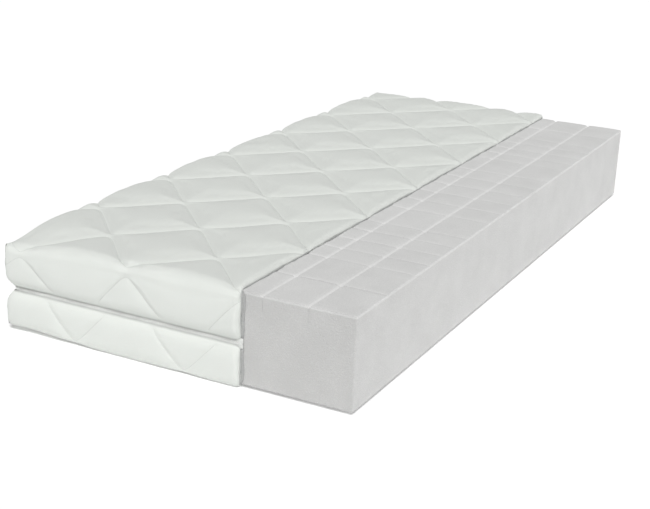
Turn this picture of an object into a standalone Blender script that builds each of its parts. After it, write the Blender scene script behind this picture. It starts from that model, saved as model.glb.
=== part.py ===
"""A single foam mattress, 90 by 200 cm, with its quilted cover cut away along one side.

The support foam and the memory foam layer bonded to it lie in a two-part cover, which a zip
joins all round. The cover is cut off along the length, so the right side of the foam is bare.
X is the width, Y the length with the foot end at -Y, and Z is up from the surface it lies on.
"""

import math

import bmesh
import bpy
from mathutils import Matrix, Vector

# Foam
CORE_WIDTH = 0.900
CORE_LENGTH = 2.000
CORE_HEIGHT = 0.220
MEMORY_HEIGHT = 0.050
CORNER_RADIUS = 0.0108  # of the foam's upright corners inside the cover
TOP_EDGE_RADIUS = 0.0068  # of the foam's top edges inside the cover

# Cuts in the memory foam
STRIPS = 8
SLIT_WIDTH = 0.001
SLIT_DEPTH = 0.040
MOUTH_WIDTH = 0.015  # of the V-shaped mouth of a long slit, at the top
MOUTH_DEPTH = 0.0096
CROSS_CUTS = (0.047, 0.141, 0.235, 0.386, 0.4645, 0.543, 0.6215, 0.700, 0.850)

# Quilt: how far each layer's inner and outer faces stand off the foam
GAP = 0.0003
BACKING = (0.0003, 0.0013)
WADDING = (0.0016, 0.0099)
TICKING = (0.0102, 0.0112)
WADDING_UNDERSIDE = 0.0067
TICKING_UNDERSIDE = (0.0070, 0.0080)
COVERED = 0.180  # from the middle of the foam to where the cover is cut off
BACKING_SHOWN = 0.008  # how far the backing runs on past the rest of the cover
UNDER_EDGE_RADIUS = 0.0006  # added to a layer's stand-off at the bottom edges

# Zip seam
ZIP_HEIGHT = 0.105
LIP = 0.006  # from the zip's centre line to each half of the cover
LIP_RADIUS = 0.006
ZIP_CHANNEL = 0.0027  # stand-off of the space that holds the tapes
TAPE = (0.0016, 0.0024)
TAPE_EDGES = (0.0008, 0.0120)
COIL_RADIUS = 0.0012
COIL_STANDOFF = 0.0039
COIL_OFFSET = 0.0018
COIL_ENDS = (0.930, 0.950)  # where the chain ends and where it begins, along the left side
TAPE_ENDS = (0.9385, 0.9415)
END_STANDOFFS = (0.0028, 0.0052)  # of the pin, the box and the two stops
PIN_LENGTH = 0.0077
PIN_EDGES = (0.0006, 0.0024)  # from the zip's centre line
BOX_WIDTH = 0.0040
STOP_LENGTH = 0.0030
STOP_EDGES = (0.0006, 0.0030)

# Slider
SLIDER_Y = 0.923
SLIDER_LENGTH = 0.012
SLIDER_HEIGHT = 0.009
SLIDER_BACK = (0.0004, 0.0012)
SLIDER_FRONT = (0.0054, 0.0064)
NECK_THICKNESS = 0.0006
NECK_LENGTH = 0.0030
NECK_Y = 0.0040
SUNK = 0.0002  # how far joined pieces of the slider run into each other
ARCH_LENGTH = 0.0058
ARCH_WIDTH = 0.0016
ARCH_TOP = (0.0083, 0.0090)
ARCH_LEG = 0.0008
TAB_AXIS = 0.0072  # stand-off of the pull tab's hinge axis
TAB_THICKNESS = 0.0008
TAB_WIDTH = 0.0052
TAB_LENGTH = 0.0205
TAB_TIP_RADIUS = 0.0022
TAB_HOLE = (0.0004, 0.0038, 0.0024)  # where it begins and ends along the tab, and its width

# Care label
LABEL = (0.0005, 0.030, 0.042)  # thickness, width and height
LABEL_DROP = 0.0005  # from the lower lip of the seam to the label's top
LABEL_STANDOFF = 0.0115
LABEL_Y = 0.840

CORNER_STEPS = 5
EDGE_STEPS = 4

# Places, measured from the middle of the whole object's underside
CORE_X = (LABEL_STANDOFF + LABEL[0]) / 2
CORE_LEFT = CORE_X - CORE_WIDTH / 2
CORE_RIGHT = CORE_X + CORE_WIDTH / 2
CORE_BOTTOM = TICKING_UNDERSIDE[1]
CORE_TOP = CORE_BOTTOM + CORE_HEIGHT
HALF_LENGTH = CORE_LENGTH / 2
COVER_CUT = CORE_X + COVERED
BACKING_CUT = COVER_CUT + BACKING_SHOWN
PAST = 0.020  # how far a cutter runs past what it cuts


def clear_scene():
    for ob in list(bpy.data.objects):
        bpy.data.objects.remove(ob)


def collection(name, hidden=False):
    made = bpy.data.collections.new(name)
    bpy.context.scene.collection.children.link(made)
    made.hide_render = hidden
    return made


def material(name, color, roughness, metallic=0.0):
    made = bpy.data.materials.new(name)
    made.use_nodes = True
    shader = made.node_tree.nodes["Principled BSDF"]
    shader.inputs["Base Color"].default_value = (*color, 1.0)
    shader.inputs["Roughness"].default_value = roughness
    shader.inputs["Metallic"].default_value = metallic
    made.diffuse_color = (*color, 1.0)
    return made


def mesh_object(name, bm, place, surface=None):
    mesh = bpy.data.meshes.new(name)
    bm.to_mesh(mesh)
    bm.free()
    ob = bpy.data.objects.new(name, mesh)
    place.objects.link(ob)
    if surface is None:
        ob.hide_render = True
        ob.display_type = "WIRE"
    else:
        mesh.materials.append(surface)
    return ob


def add_box(bm, low, high):
    size = Vector(high) - Vector(low)
    centre = (Vector(high) + Vector(low)) / 2
    matrix = Matrix.Translation(centre) @ Matrix.Diagonal((*size, 1.0))
    bmesh.ops.create_cube(bm, size=1.0, matrix=matrix)


def box(name, low, high, place, surface=None):
    bm = bmesh.new()
    add_box(bm, low, high)
    return mesh_object(name, bm, place, surface)


def round_edges(bm, edges, radius, steps):
    bmesh.ops.bevel(bm, geom=edges, offset=radius, segments=steps, profile=0.5, affect="EDGES")


def block(name, standoff, z_low, z_high, x_end, place, surface=None, low_edge=0.0, high_edge=0.0):
    """A block round the core that stands off it on three sides, rounded there and flat at x_end."""
    left = CORE_LEFT - standoff
    end = HALF_LENGTH + standoff
    bm = bmesh.new()
    add_box(bm, (left, -end, z_low), (x_end, end, z_high))
    upright = [e for e in bm.edges if all(abs(v.co.x - left) < 1e-6 for v in e.verts)]
    upright = [e for e in upright if abs(e.verts[0].co.z - e.verts[1].co.z) > 1e-6]
    round_edges(bm, upright, CORNER_RADIUS + standoff, CORNER_STEPS)
    for z, radius in ((z_low, low_edge), (z_high, high_edge)):
        if radius:
            rim = [e for e in bm.edges if all(abs(v.co.z - z) < 1e-6 for v in e.verts)]
            rim = [e for e in rim if any(x_end - v.co.x > 1e-6 for v in e.verts)]
            round_edges(bm, rim, radius, EDGE_STEPS)
    return mesh_object(name, bm, place, surface)


def combine(ob, other, operation="DIFFERENCE"):
    change = ob.modifiers.new(other.name, "BOOLEAN")
    change.operation = operation
    change.solver = "EXACT"
    change.object = other


def foam(parts, cutters, surface_base, surface_memory):
    layer_low = CORE_TOP - MEMORY_HEIGHT
    block("base_foam_core", 0.0, CORE_BOTTOM, layer_low - GAP, CORE_RIGHT, parts, surface_base)
    layer = block(
        "memory_foam_layer", 0.0, layer_low, CORE_TOP, BACKING_CUT + PAST, parts, surface_memory,
        high_edge=TOP_EDGE_RADIUS,
    )
    bare_low = (BACKING_CUT + GAP, -HALF_LENGTH, layer_low)
    bare = box("bare_side", bare_low, (CORE_RIGHT, HALF_LENGTH, CORE_TOP), cutters)
    combine(layer, bare, "UNION")
    combine(layer, long_slits(cutters))
    combine(layer, slit_mouths(cutters))
    combine(layer, cross_slits(cutters))


def slit_places():
    return [CORE_LEFT + i * CORE_WIDTH / STRIPS for i in range(1, STRIPS)]


def long_slits(cutters):
    bm = bmesh.new()
    for x in slit_places():
        low = (x - SLIT_WIDTH / 2, -HALF_LENGTH - PAST, CORE_TOP - SLIT_DEPTH)
        add_box(bm, low, (x + SLIT_WIDTH / 2, HALF_LENGTH + PAST, CORE_TOP + PAST))
    return mesh_object("long_slits", bm, cutters)


def slit_mouths(cutters):
    """The V-shaped mouths of the long slits, cut by bars that stand on edge."""
    bm = bmesh.new()
    on_edge = Matrix.Rotation(math.radians(45), 4, "Y")
    size = (MOUTH_WIDTH / math.sqrt(2), CORE_LENGTH + 2 * PAST, MOUTH_DEPTH * math.sqrt(2), 1.0)
    for x in slit_places():
        matrix = Matrix.Translation((x, 0.0, CORE_TOP)) @ Matrix.Diagonal(size) @ on_edge
        bmesh.ops.create_cube(bm, size=1.0, matrix=matrix)
    return mesh_object("slit_mouths", bm, cutters)


def cross_slits(cutters):
    bm = bmesh.new()
    for distance in CROSS_CUTS:
        for y in (-distance, distance):
            low = (CORE_LEFT - PAST, y - SLIT_WIDTH / 2, CORE_TOP - SLIT_DEPTH)
            add_box(bm, low, (CORE_RIGHT + PAST, y + SLIT_WIDTH / 2, CORE_TOP + PAST))
    return mesh_object("cross_slits", bm, cutters)


def upper_half(parts, cutters, ticking_surface, wadding_surface, backing_surface):
    past_cut = COVER_CUT + PAST
    low = ZIP_HEIGHT + LIP
    skin = TICKING[1] - TICKING[0]
    tuck = TICKING[1] - WADDING[1]
    ticking = block(
        "upper_ticking", TICKING[1], low, CORE_TOP + TICKING[1], COVER_CUT, parts, ticking_surface,
        low_edge=LIP_RADIUS, high_edge=TOP_EDGE_RADIUS + TICKING[1],
    )
    combine(ticking, block(
        "upper_ticking_inside", TICKING[0], low + skin, CORE_TOP + TICKING[0], past_cut, cutters,
        low_edge=LIP_RADIUS - skin, high_edge=TOP_EDGE_RADIUS + TICKING[0],
    ))
    combine(ticking, block(
        "upper_ticking_mouth", ZIP_CHANNEL, low - skin, low + 2 * skin, past_cut, cutters,
    ))
    wadding = block(
        "upper_wadding", WADDING[1], low + tuck, CORE_TOP + WADDING[1], COVER_CUT, parts,
        wadding_surface, low_edge=LIP_RADIUS - tuck, high_edge=TOP_EDGE_RADIUS + WADDING[1],
    )
    combine(wadding, block(
        "upper_wadding_inside", WADDING[0], low - skin, CORE_TOP + WADDING[0], past_cut, cutters,
        high_edge=TOP_EDGE_RADIUS + WADDING[0],
    ))
    combine(wadding, block(
        "upper_tape_space", ZIP_CHANNEL, low - skin, ZIP_HEIGHT + TAPE_EDGES[1] + GAP, past_cut,
        cutters,
    ))
    backing_low = ZIP_HEIGHT + TAPE_EDGES[1] + GAP
    backing = block(
        "upper_backing", BACKING[1], backing_low, CORE_TOP + BACKING[1], BACKING_CUT, parts,
        backing_surface, high_edge=TOP_EDGE_RADIUS + BACKING[1],
    )
    combine(backing, block(
        "upper_backing_inside", BACKING[0], backing_low - PAST, CORE_TOP + BACKING[0],
        BACKING_CUT + PAST, cutters, high_edge=TOP_EDGE_RADIUS + BACKING[0],
    ))


def lower_half(parts, cutters, ticking_surface, wadding_surface, backing_surface):
    past_cut = COVER_CUT + PAST
    high = ZIP_HEIGHT - LIP
    skin = TICKING[1] - TICKING[0]
    tuck = TICKING[1] - WADDING[1]
    ticking = block(
        "lower_ticking", TICKING[1], 0.0, high, COVER_CUT, parts, ticking_surface,
        low_edge=TICKING[1] + UNDER_EDGE_RADIUS, high_edge=LIP_RADIUS,
    )
    combine(ticking, block(
        "lower_ticking_inside", TICKING[0], CORE_BOTTOM - TICKING_UNDERSIDE[0], high - skin,
        past_cut, cutters, low_edge=TICKING[0] + UNDER_EDGE_RADIUS, high_edge=LIP_RADIUS - skin,
    ))
    combine(ticking, block(
        "lower_ticking_mouth", ZIP_CHANNEL, high - 2 * skin, high + skin, past_cut, cutters,
    ))
    wadding = block(
        "lower_wadding", WADDING[1], CORE_BOTTOM - WADDING_UNDERSIDE, high - tuck, COVER_CUT, parts,
        wadding_surface, low_edge=WADDING[1] + UNDER_EDGE_RADIUS, high_edge=LIP_RADIUS - tuck,
    )
    combine(wadding, block(
        "lower_wadding_inside", WADDING[0], CORE_BOTTOM - WADDING[0], high + skin, past_cut,
        cutters, low_edge=WADDING[0] + UNDER_EDGE_RADIUS,
    ))
    combine(wadding, block(
        "lower_tape_space", ZIP_CHANNEL, ZIP_HEIGHT - TAPE_EDGES[1] - GAP, high + skin, past_cut,
        cutters,
    ))
    backing_high = ZIP_HEIGHT - TAPE_EDGES[1] - GAP
    backing = block(
        "lower_backing", BACKING[1], CORE_BOTTOM - BACKING[1], backing_high, BACKING_CUT, parts,
        backing_surface, low_edge=BACKING[1] + UNDER_EDGE_RADIUS,
    )
    combine(backing, block(
        "lower_backing_inside", BACKING[0], CORE_BOTTOM - BACKING[0], backing_high + PAST,
        BACKING_CUT + PAST, cutters,
    ))


def tape(name, side, head, parts, cutters, surface):
    """One run of zip tape, above the zip's centre line for side +1 and below it for -1."""
    low, high = sorted(ZIP_HEIGHT + side * edge for edge in TAPE_EDGES)
    ribbon = block(name, TAPE[1], low, high, COVER_CUT, parts, surface)
    inside = block(name + "_inside", TAPE[0], low - PAST, high + PAST, COVER_CUT + PAST, cutters)
    combine(ribbon, inside)
    cut_low = (CORE_LEFT - PAST, -HALF_LENGTH - PAST if head else TAPE_ENDS[0], low - PAST)
    cut_high = (COVER_CUT + PAST, TAPE_ENDS[1] if head else HALF_LENGTH + PAST, high + PAST)
    combine(ribbon, box(name + "_end", cut_low, cut_high, cutters))


def corner_arc(end):
    """Points round the core's left corner at the foot (end -1) or the head (+1), from its end face."""
    centre = Vector((CORE_LEFT + CORNER_RADIUS, end * (HALF_LENGTH - CORNER_RADIUS), 0.0))
    radius = CORNER_RADIUS + COIL_STANDOFF
    angles = [math.radians(90 + 90 * i / CORNER_STEPS) for i in range(CORNER_STEPS + 1)]
    return [centre + Vector((radius * math.cos(a), end * radius * math.sin(a), 0.0)) for a in angles]


def coil(name, side, end, parts, surface):
    """One run of zip coil: from the cut, round the corner and along the left side to its end."""
    stand = HALF_LENGTH + COIL_STANDOFF
    last = COIL_ENDS[0] if end < 0 else COIL_ENDS[1]
    route = [Vector((COVER_CUT, end * stand, 0.0)), *corner_arc(end)]
    route.append(Vector((CORE_LEFT - COIL_STANDOFF, last, 0.0)))
    data = bpy.data.curves.new(name, "CURVE")
    data.dimensions = "3D"
    data.bevel_depth = COIL_RADIUS
    data.bevel_resolution = 2
    data.use_fill_caps = True
    spline = data.splines.new("POLY")
    spline.points.add(len(route) - 1)
    for point, place in zip(spline.points, route):
        point.co = (place.x, place.y, ZIP_HEIGHT + side * COIL_OFFSET, 1.0)
    data.materials.append(surface)
    parts.objects.link(bpy.data.objects.new(name, data))


def left_box(name, standoffs, y, z, parts, surface):
    """A small box on the core's left side, given by its stand-offs and its Y and Z limits."""
    low = (CORE_LEFT - standoffs[1], y[0], z[0])
    return box(name, low, (CORE_LEFT - standoffs[0], y[1], z[1]), parts, surface)


def zip_ends(parts, metal, plastic):
    """The pin and the box where the chain begins, and the stops where it ends."""
    begin = (COIL_ENDS[1] - GAP - PIN_LENGTH, COIL_ENDS[1] - GAP)
    stop = (COIL_ENDS[0] + GAP, COIL_ENDS[0] + GAP + STOP_LENGTH)
    pin_z = [ZIP_HEIGHT + edge for edge in PIN_EDGES]
    left_box("zip_pin", END_STANDOFFS, begin, pin_z, parts, plastic)
    left_box("zip_box", END_STANDOFFS, begin, (ZIP_HEIGHT - BOX_WIDTH, ZIP_HEIGHT), parts, plastic)
    for name, side in (("zip_stop_upper", 1), ("zip_stop_lower", -1)):
        z = sorted(ZIP_HEIGHT + side * edge for edge in STOP_EDGES)
        left_box(name, END_STANDOFFS, stop, z, parts, metal)


def slider(parts, cutters, metal):
    """The slider and its tab, each modelled about its own origin and then placed."""
    origin = Vector((CORE_LEFT, SLIDER_Y, ZIP_HEIGHT))
    half_length, half_height = SLIDER_LENGTH / 2, SLIDER_HEIGHT / 2

    def plate(name, standoffs, half_y, half_z, place, surface=None, y=0.0):
        low = (-standoffs[1], y - half_y, -half_z)
        made = box(name, low, (-standoffs[0], y + half_y, half_z), place, surface)
        made.location = origin
        return made

    body = plate("zip_slider", SLIDER_FRONT, half_length, half_height, parts, metal)
    pieces = (
        plate("slider_back", SLIDER_BACK, half_length, half_height, cutters),
        plate("slider_neck", (SLIDER_BACK[1] - SUNK, SLIDER_FRONT[0] + SUNK), NECK_LENGTH / 2,
              NECK_THICKNESS / 2, cutters, y=NECK_Y),
        plate("slider_arch", (SLIDER_FRONT[1] - SUNK, ARCH_TOP[1]), ARCH_LENGTH / 2,
              ARCH_WIDTH / 2, cutters),
    )
    opening = plate("slider_opening", (SLIDER_FRONT[1], ARCH_TOP[0]), ARCH_LENGTH / 2 - ARCH_LEG,
                    ARCH_WIDTH, cutters)
    combine(pieces[2], opening)
    for piece in (pieces[1], pieces[0], pieces[2]):
        combine(body, piece, "UNION")

    hinge = bpy.data.objects.new("pull_tab_hinge", None)
    hinge.location = origin - Vector((TAB_AXIS, 0.0, 0.0))
    parts.objects.link(hinge)
    bar, hole_end, hole_width = TAB_HOLE
    half = TAB_THICKNESS / 2
    bm = bmesh.new()
    add_box(bm, (-half, -TAB_LENGTH, -TAB_WIDTH / 2), (half, bar, TAB_WIDTH / 2))
    tip = [e for e in bm.edges if all(v.co.y < -TAB_LENGTH / 2 for v in e.verts)]
    tip = [e for e in tip if abs(e.verts[0].co.x - e.verts[1].co.x) > 1e-6]
    round_edges(bm, tip, TAB_TIP_RADIUS, CORNER_STEPS)
    tab = mesh_object("zip_pull_tab", bm, parts, metal)
    hole_low = (-TAB_WIDTH, -hole_end, -hole_width / 2)
    hole = box("tab_hole", hole_low, (TAB_WIDTH, -bar, hole_width / 2), cutters)
    for piece in (tab, hole):
        piece.parent = hinge
    combine(tab, hole)


def care_label(parts, surface):
    thickness, width, height = LABEL
    top = ZIP_HEIGHT - LIP - LABEL_DROP
    standoffs = (LABEL_STANDOFF, LABEL_STANDOFF + thickness)
    y = (LABEL_Y - width / 2, LABEL_Y + width / 2)
    left_box("care_label", standoffs, y, (top - height, top), parts, surface)


def main():
    clear_scene()
    parts = collection("foam_mattress")
    cutters = collection("cutters", hidden=True)
    base_foam = material("base_foam", (0.60, 0.60, 0.59), 0.95)
    memory_foam = material("memory_foam", (0.64, 0.64, 0.63), 0.95)
    ticking = material("ticking", (0.84, 0.86, 0.83), 0.85)
    wadding = material("wadding", (0.90, 0.90, 0.89), 0.95)
    backing = material("backing", (0.62, 0.63, 0.62), 0.90)
    zip_cloth = material("zip_cloth", (0.82, 0.83, 0.81), 0.80)
    zip_plastic = material("zip_plastic", (0.88, 0.89, 0.87), 0.35)
    zip_metal = material("zip_metal", (0.80, 0.80, 0.78), 0.35, 1.0)
    label_cloth = material("label_cloth", (0.88, 0.88, 0.87), 0.55)
    foam(parts, cutters, base_foam, memory_foam)
    upper_half(parts, cutters, ticking, wadding, backing)
    lower_half(parts, cutters, ticking, wadding, backing)
    for name, side in (("upper", 1), ("lower", -1)):
        tape(f"zip_tape_{name}", side, False, parts, cutters, zip_cloth)
        tape(f"zip_tape_{name}_head", side, True, parts, cutters, zip_cloth)
        coil(f"zip_coil_{name}", side, -1, parts, zip_plastic)
        coil(f"zip_coil_{name}_head", side, 1, parts, zip_plastic)
    zip_ends(parts, zip_metal, zip_plastic)
    slider(parts, cutters, zip_metal)
    care_label(parts, label_cloth)


main()
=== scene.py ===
import math

import bpy
import numpy as np
from mathutils import Matrix, Vector
from mathutils.bvhtree import BVHTree


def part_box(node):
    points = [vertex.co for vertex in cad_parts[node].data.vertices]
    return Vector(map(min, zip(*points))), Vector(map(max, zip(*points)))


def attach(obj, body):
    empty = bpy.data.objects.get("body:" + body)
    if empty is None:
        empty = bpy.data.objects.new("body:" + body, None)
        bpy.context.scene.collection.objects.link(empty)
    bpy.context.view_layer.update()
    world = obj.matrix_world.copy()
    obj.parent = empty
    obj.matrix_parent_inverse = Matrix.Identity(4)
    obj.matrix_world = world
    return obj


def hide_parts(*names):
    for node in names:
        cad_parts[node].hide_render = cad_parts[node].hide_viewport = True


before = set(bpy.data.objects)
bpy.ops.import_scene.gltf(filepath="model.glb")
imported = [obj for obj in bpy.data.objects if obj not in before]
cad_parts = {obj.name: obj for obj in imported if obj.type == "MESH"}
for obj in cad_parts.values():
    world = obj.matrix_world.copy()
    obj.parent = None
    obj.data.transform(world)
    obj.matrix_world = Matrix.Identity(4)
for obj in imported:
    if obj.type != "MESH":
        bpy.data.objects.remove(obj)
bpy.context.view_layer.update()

# Places, from the frame
FOAM_LOW = Vector(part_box("base_foam_core")[0])
FOAM_HIGH = Vector(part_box("memory_foam_layer")[1])
LAYER_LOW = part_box("memory_foam_layer")[0][2]
COVER_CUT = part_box("upper_ticking")[1][0]
BACKING_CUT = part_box("upper_backing")[1][0]
TICKING_EDGE = COVER_CUT - 0.0055
LINING_EDGE = BACKING_CUT - 0.0060
LIP_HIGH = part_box("upper_ticking")[0][2]
LIP_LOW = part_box("lower_ticking")[1][2]
ZIP_Z = (LIP_HIGH + LIP_LOW) / 2
CORE_X = (FOAM_LOW.x + FOAM_HIGH.x) / 2
CORE_MID_Y = (FOAM_LOW.y + FOAM_HIGH.y) / 2

# Quilting: the zigzag stitch lines as they lie on a cover that is laid out flat
STITCH_ACROSS = 0.300
STITCH_ALONG = 0.320
TIP_X = CORE_X - 0.118
TIP_GAP = 0.018
TIP_SHARP = 0.965
ROWS_A_BAND = 32
COLUMN = 0.0045

# The covered corners, where the tight cover rounds the foam
DROOP_X, DROOP_Y = 0.15, 0.11
DROOP_TOP, DROOP_BOTTOM = 0.018, 0.010
HEAD_SHARE = 0.35
CORNER_RADIUS = 0.0108
BARE_RADIUS = 0.0025

# The cover: its skin, the fold at the zip, the corners, the slope beside a stitch, the filling
SKIN = 0.0009
ZIP_FOLD = 0.016
TURNED_IN = 0.0029
EAR_REACH = 0.045
STITCH_SLOPE = 0.011
CALM_REACH = 0.07
INFLATE_FRAMES = 20
TOP_CAP, SIDE_CAP = 0.009, 0.006
FILL_GAP = 0.0020
FILL_LEAST = 0.0006

rng = np.random.default_rng(7)


def smooth(t):
    t = np.clip(t, 0.0, 1.0)
    return t * t * (3.0 - 2.0 * t)


def mesh_piece(name, points, faces, material, body, smooth_shading=True):
    """A mesh object from plain arrays, riding on a body."""
    mesh = bpy.data.meshes.new(name)
    mesh.from_pydata(np.asarray(points).tolist(), [], faces)
    mesh.validate()
    mesh.materials.append(material)
    mesh.polygons.foreach_set("use_smooth", [smooth_shading] * len(mesh.polygons))
    ob = bpy.data.objects.new(name, mesh)
    bpy.context.scene.collection.objects.link(ob)
    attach(ob, body)
    return ob


def welded(points, faces, step=2e-5):
    """Points and faces with coincident points joined and collapsed faces dropped."""
    keys = np.round(points / step).astype(np.int64)
    _, first, index = np.unique(keys, axis=0, return_index=True, return_inverse=True)
    index = index.reshape(-1)
    kept = []
    for face in index[np.asarray(faces)].tolist():
        ring = [p for i, p in enumerate(face) if p != face[i - 1]]
        if len(ring) > 2 and len(set(ring)) == len(ring):
            kept.append(ring)
    return points[first], kept, index, first


def squeezed(points):
    """Rounds the two covered corners, where the tight cover presses on the foam."""
    x, y, z = points[..., 0], points[..., 1], points[..., 2]
    gap_y = np.abs(y - CORE_MID_Y) - FOAM_HIGH.y + CORE_MID_Y
    near = np.exp(-((x - FOAM_LOW.x) / DROOP_X) ** 2 - (gap_y / DROOP_Y) ** 2)
    above = smooth((z - ZIP_Z) / (FOAM_HIGH.z - ZIP_Z))
    below = smooth((ZIP_Z - z) / (ZIP_Z - FOAM_LOW.z))
    moved = points.copy()
    near = near * np.where(y > CORE_MID_Y, HEAD_SHARE, 1.0)
    moved[..., 2] = z + near * (DROOP_BOTTOM * below - DROOP_TOP * above)
    return moved


class Half:
    """One half of the cover: how its flat panel wraps round the foam, and where its stitches lie.

    Panel coordinates are metres on the cloth laid flat: over the foam they are X and Y, and past
    an edge of the foam they run on down the border. side is 1 for the upper half, -1 for the lower.
    """

    def __init__(self, side, face_z, lip_z, walls, corner, rim, lip, tip_y=0.0, puff=0.0,
                 side_puff=0.0, bulge=0.0, pinch=0.0, ear=0.0):
        self.side, self.face_z = side, face_z
        self.pinch, self.ear = pinch, ear
        self.left = FOAM_LOW.x - walls
        self.foot = FOAM_LOW.y - walls
        self.head = FOAM_HIGH.y + walls
        self.depth = side * (face_z - lip_z)
        self.inward = walls - TURNED_IN
        self.corner, self.rim, self.lip = corner, rim, lip
        self.tip_y = tip_y
        self.puff, self.side_puff, self.bulge = puff, side_puff, bulge
        self.plain_depth = self.depth - lip - 0.004

    def line(self, n, x):
        """Where stitch line n lies along the panel, at each place x across it."""
        wave = np.arcsin(TIP_SHARP * np.cos(2 * math.pi * (x - TIP_X) / STITCH_ACROSS))
        wave = wave / math.asin(TIP_SHARP)
        turn = 1.0 if n % 2 == 0 else -1.0
        middle = self.tip_y + (n + 0.5) * STITCH_ALONG / 2
        wander = 0.0016 * np.sin(x * 9.0 + 2.1 * n) + 0.0008 * np.sin(x * 31.0 + 1.3 * n)
        return middle - turn * (STITCH_ALONG / 4 - TIP_GAP / 2) * wave + wander

    def grid(self):
        """Panel coordinates of every point, the rows that are stitch lines, and the lip's rows."""
        tail = np.array([0.0, 0.3, 0.55, 0.75, 0.9, 1.0]) * (self.depth + self.inward - self.plain_depth)
        right = TICKING_EDGE
        edge = np.array([0.0, 0.0008, 0.002, 0.004, 0.0065, 0.0095, 0.013])
        span = right - edge[-1] - self.left
        steps = int(round(span / COLUMN))
        across = np.concatenate([right - edge[:-1], np.linspace(right - edge[-1], self.left, steps + 1)])
        steps = int(round(self.plain_depth / COLUMN))
        border = self.left - np.concatenate(
            [np.linspace(0.0, self.plain_depth, steps + 1), self.plain_depth + tail[1:]]
        )
        u = np.concatenate([across, border])
        on_border = np.arange(len(u)) >= len(across)
        low, high = self.foot - self.plain_depth, self.head + self.plain_depth
        first = int(math.floor((low - self.tip_y) / (STITCH_ALONG / 2))) - 1
        last = int(math.ceil((high - self.tip_y) / (STITCH_ALONG / 2)))
        j = np.arange(ROWS_A_BAND) / ROWS_A_BAND
        ease = 0.5 * j + 0.5 * (0.5 - 0.5 * np.cos(math.pi * j))
        rows, lines = [], []
        for n in range(first, last + 1):
            a, b = self.line(n, u), self.line(n + 1, u)
            lines.append((n, len(rows)))
            rows += [a + (b - a) * t for t in ease]
        lines.append((last + 1, len(rows)))
        rows.append(self.line(last + 1, u))
        v = np.clip(np.stack(rows, axis=1), low, high)
        foot_lip = np.repeat((low - tail[:0:-1])[None, :], len(u), axis=0)
        head_lip = np.repeat((high + tail[1:])[None, :], len(u), axis=0)
        v = np.concatenate([foot_lip, v, head_lip], axis=1)
        v[on_border] = np.clip(v[on_border], self.foot, self.head)
        lines = [(n, row + foot_lip.shape[1]) for n, row in lines]
        return np.repeat(u[:, None], v.shape[1], axis=1), v, lines, len(across)

    def wrap(self, u, v):
        """Places on the smooth cover, its outward directions, and how far each is past the edge."""
        beyond = np.maximum(self.left - u, 0) + np.maximum(self.foot - v, 0)
        beyond = beyond + np.maximum(v - self.head, 0)
        x, y = np.maximum(u, self.left), np.clip(v, self.foot, self.head)
        half = (self.head - self.foot) / 2 - self.corner
        end = np.where(y > CORE_MID_Y, 1.0, -1.0)
        qx = np.maximum(self.left + self.corner - x, 0)
        qy = np.maximum(np.abs(y - CORE_MID_Y) - half, 0)
        long = np.maximum(np.hypot(qx, qy), 1e-12)
        reach = np.maximum(qx, qy)
        nx, ny = -qx / long, end * qy / long
        inset = self.corner - reach
        depth = np.minimum(beyond, self.depth)
        run = np.maximum(beyond - self.depth, 0)

        a, b = np.maximum(self.rim - inset, 0), np.maximum(self.rim - depth, 0)
        norm = np.maximum(np.hypot(a, b), 1e-12)
        near_rim = (a > 0) & (b > 0)
        out, up = a / norm, b / norm
        inset_r = np.where(near_rim, self.rim - self.rim * out, inset)
        depth_r = np.where(near_rim, self.rim - self.rim * up, depth)

        a2, b2 = np.maximum(self.lip - run, 0), np.maximum(self.lip - (self.depth - depth), 0)
        norm2 = np.maximum(np.hypot(a2, b2), 1e-12)
        near_lip = (beyond > self.depth - self.lip) & (a2 > 0)
        inset_r = np.where(near_lip, self.lip - self.lip * a2 / norm2, inset_r)
        depth_r = np.where(near_lip, self.depth - self.lip + self.lip * b2 / norm2, depth_r)
        past = run >= self.lip
        inset_r = np.where(past, run, inset_r)
        depth_r = np.where(past, self.depth, depth_r)
        out = np.where(near_lip, a2 / norm2, np.where(past, 0.0, out))
        up = np.where(near_lip, -b2 / norm2, np.where(past, -1.0, up))

        cx = np.maximum(x, self.left + self.corner)
        cy = CORE_MID_Y + end * np.minimum(np.abs(y - CORE_MID_Y), half)
        near_zip = np.exp(-((self.depth - np.minimum(beyond, self.depth)) / ZIP_FOLD) ** 2)
        tuck = 1 - np.clip(run / self.inward, 0, 1)
        inset_r = inset_r + self.pinch * near_zip * tuck * np.where(beyond > 0, 1.0, 0.0)
        px = cx + nx * (self.corner - inset_r)
        py = cy + ny * (self.corner - inset_r)
        pz = self.face_z - self.side * depth_r
        from_corner = (px - self.left) ** 2 + (np.abs(py - CORE_MID_Y) - half) ** 2
        corner = self.ear * (1 - near_zip) * np.exp(-from_corner / EAR_REACH**2)
        px, py = px - corner, py + end * corner
        points = np.stack([px, py, pz], axis=-1)
        normals = np.stack([nx * out, ny * out, self.side * up], axis=-1)
        flat = (inset >= self.rim) & (beyond <= 0)
        normals[flat] = (0.0, 0.0, self.side)
        size = np.linalg.norm(normals, axis=-1, keepdims=True)
        return points, normals / np.maximum(size, 1e-9), beyond

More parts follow.
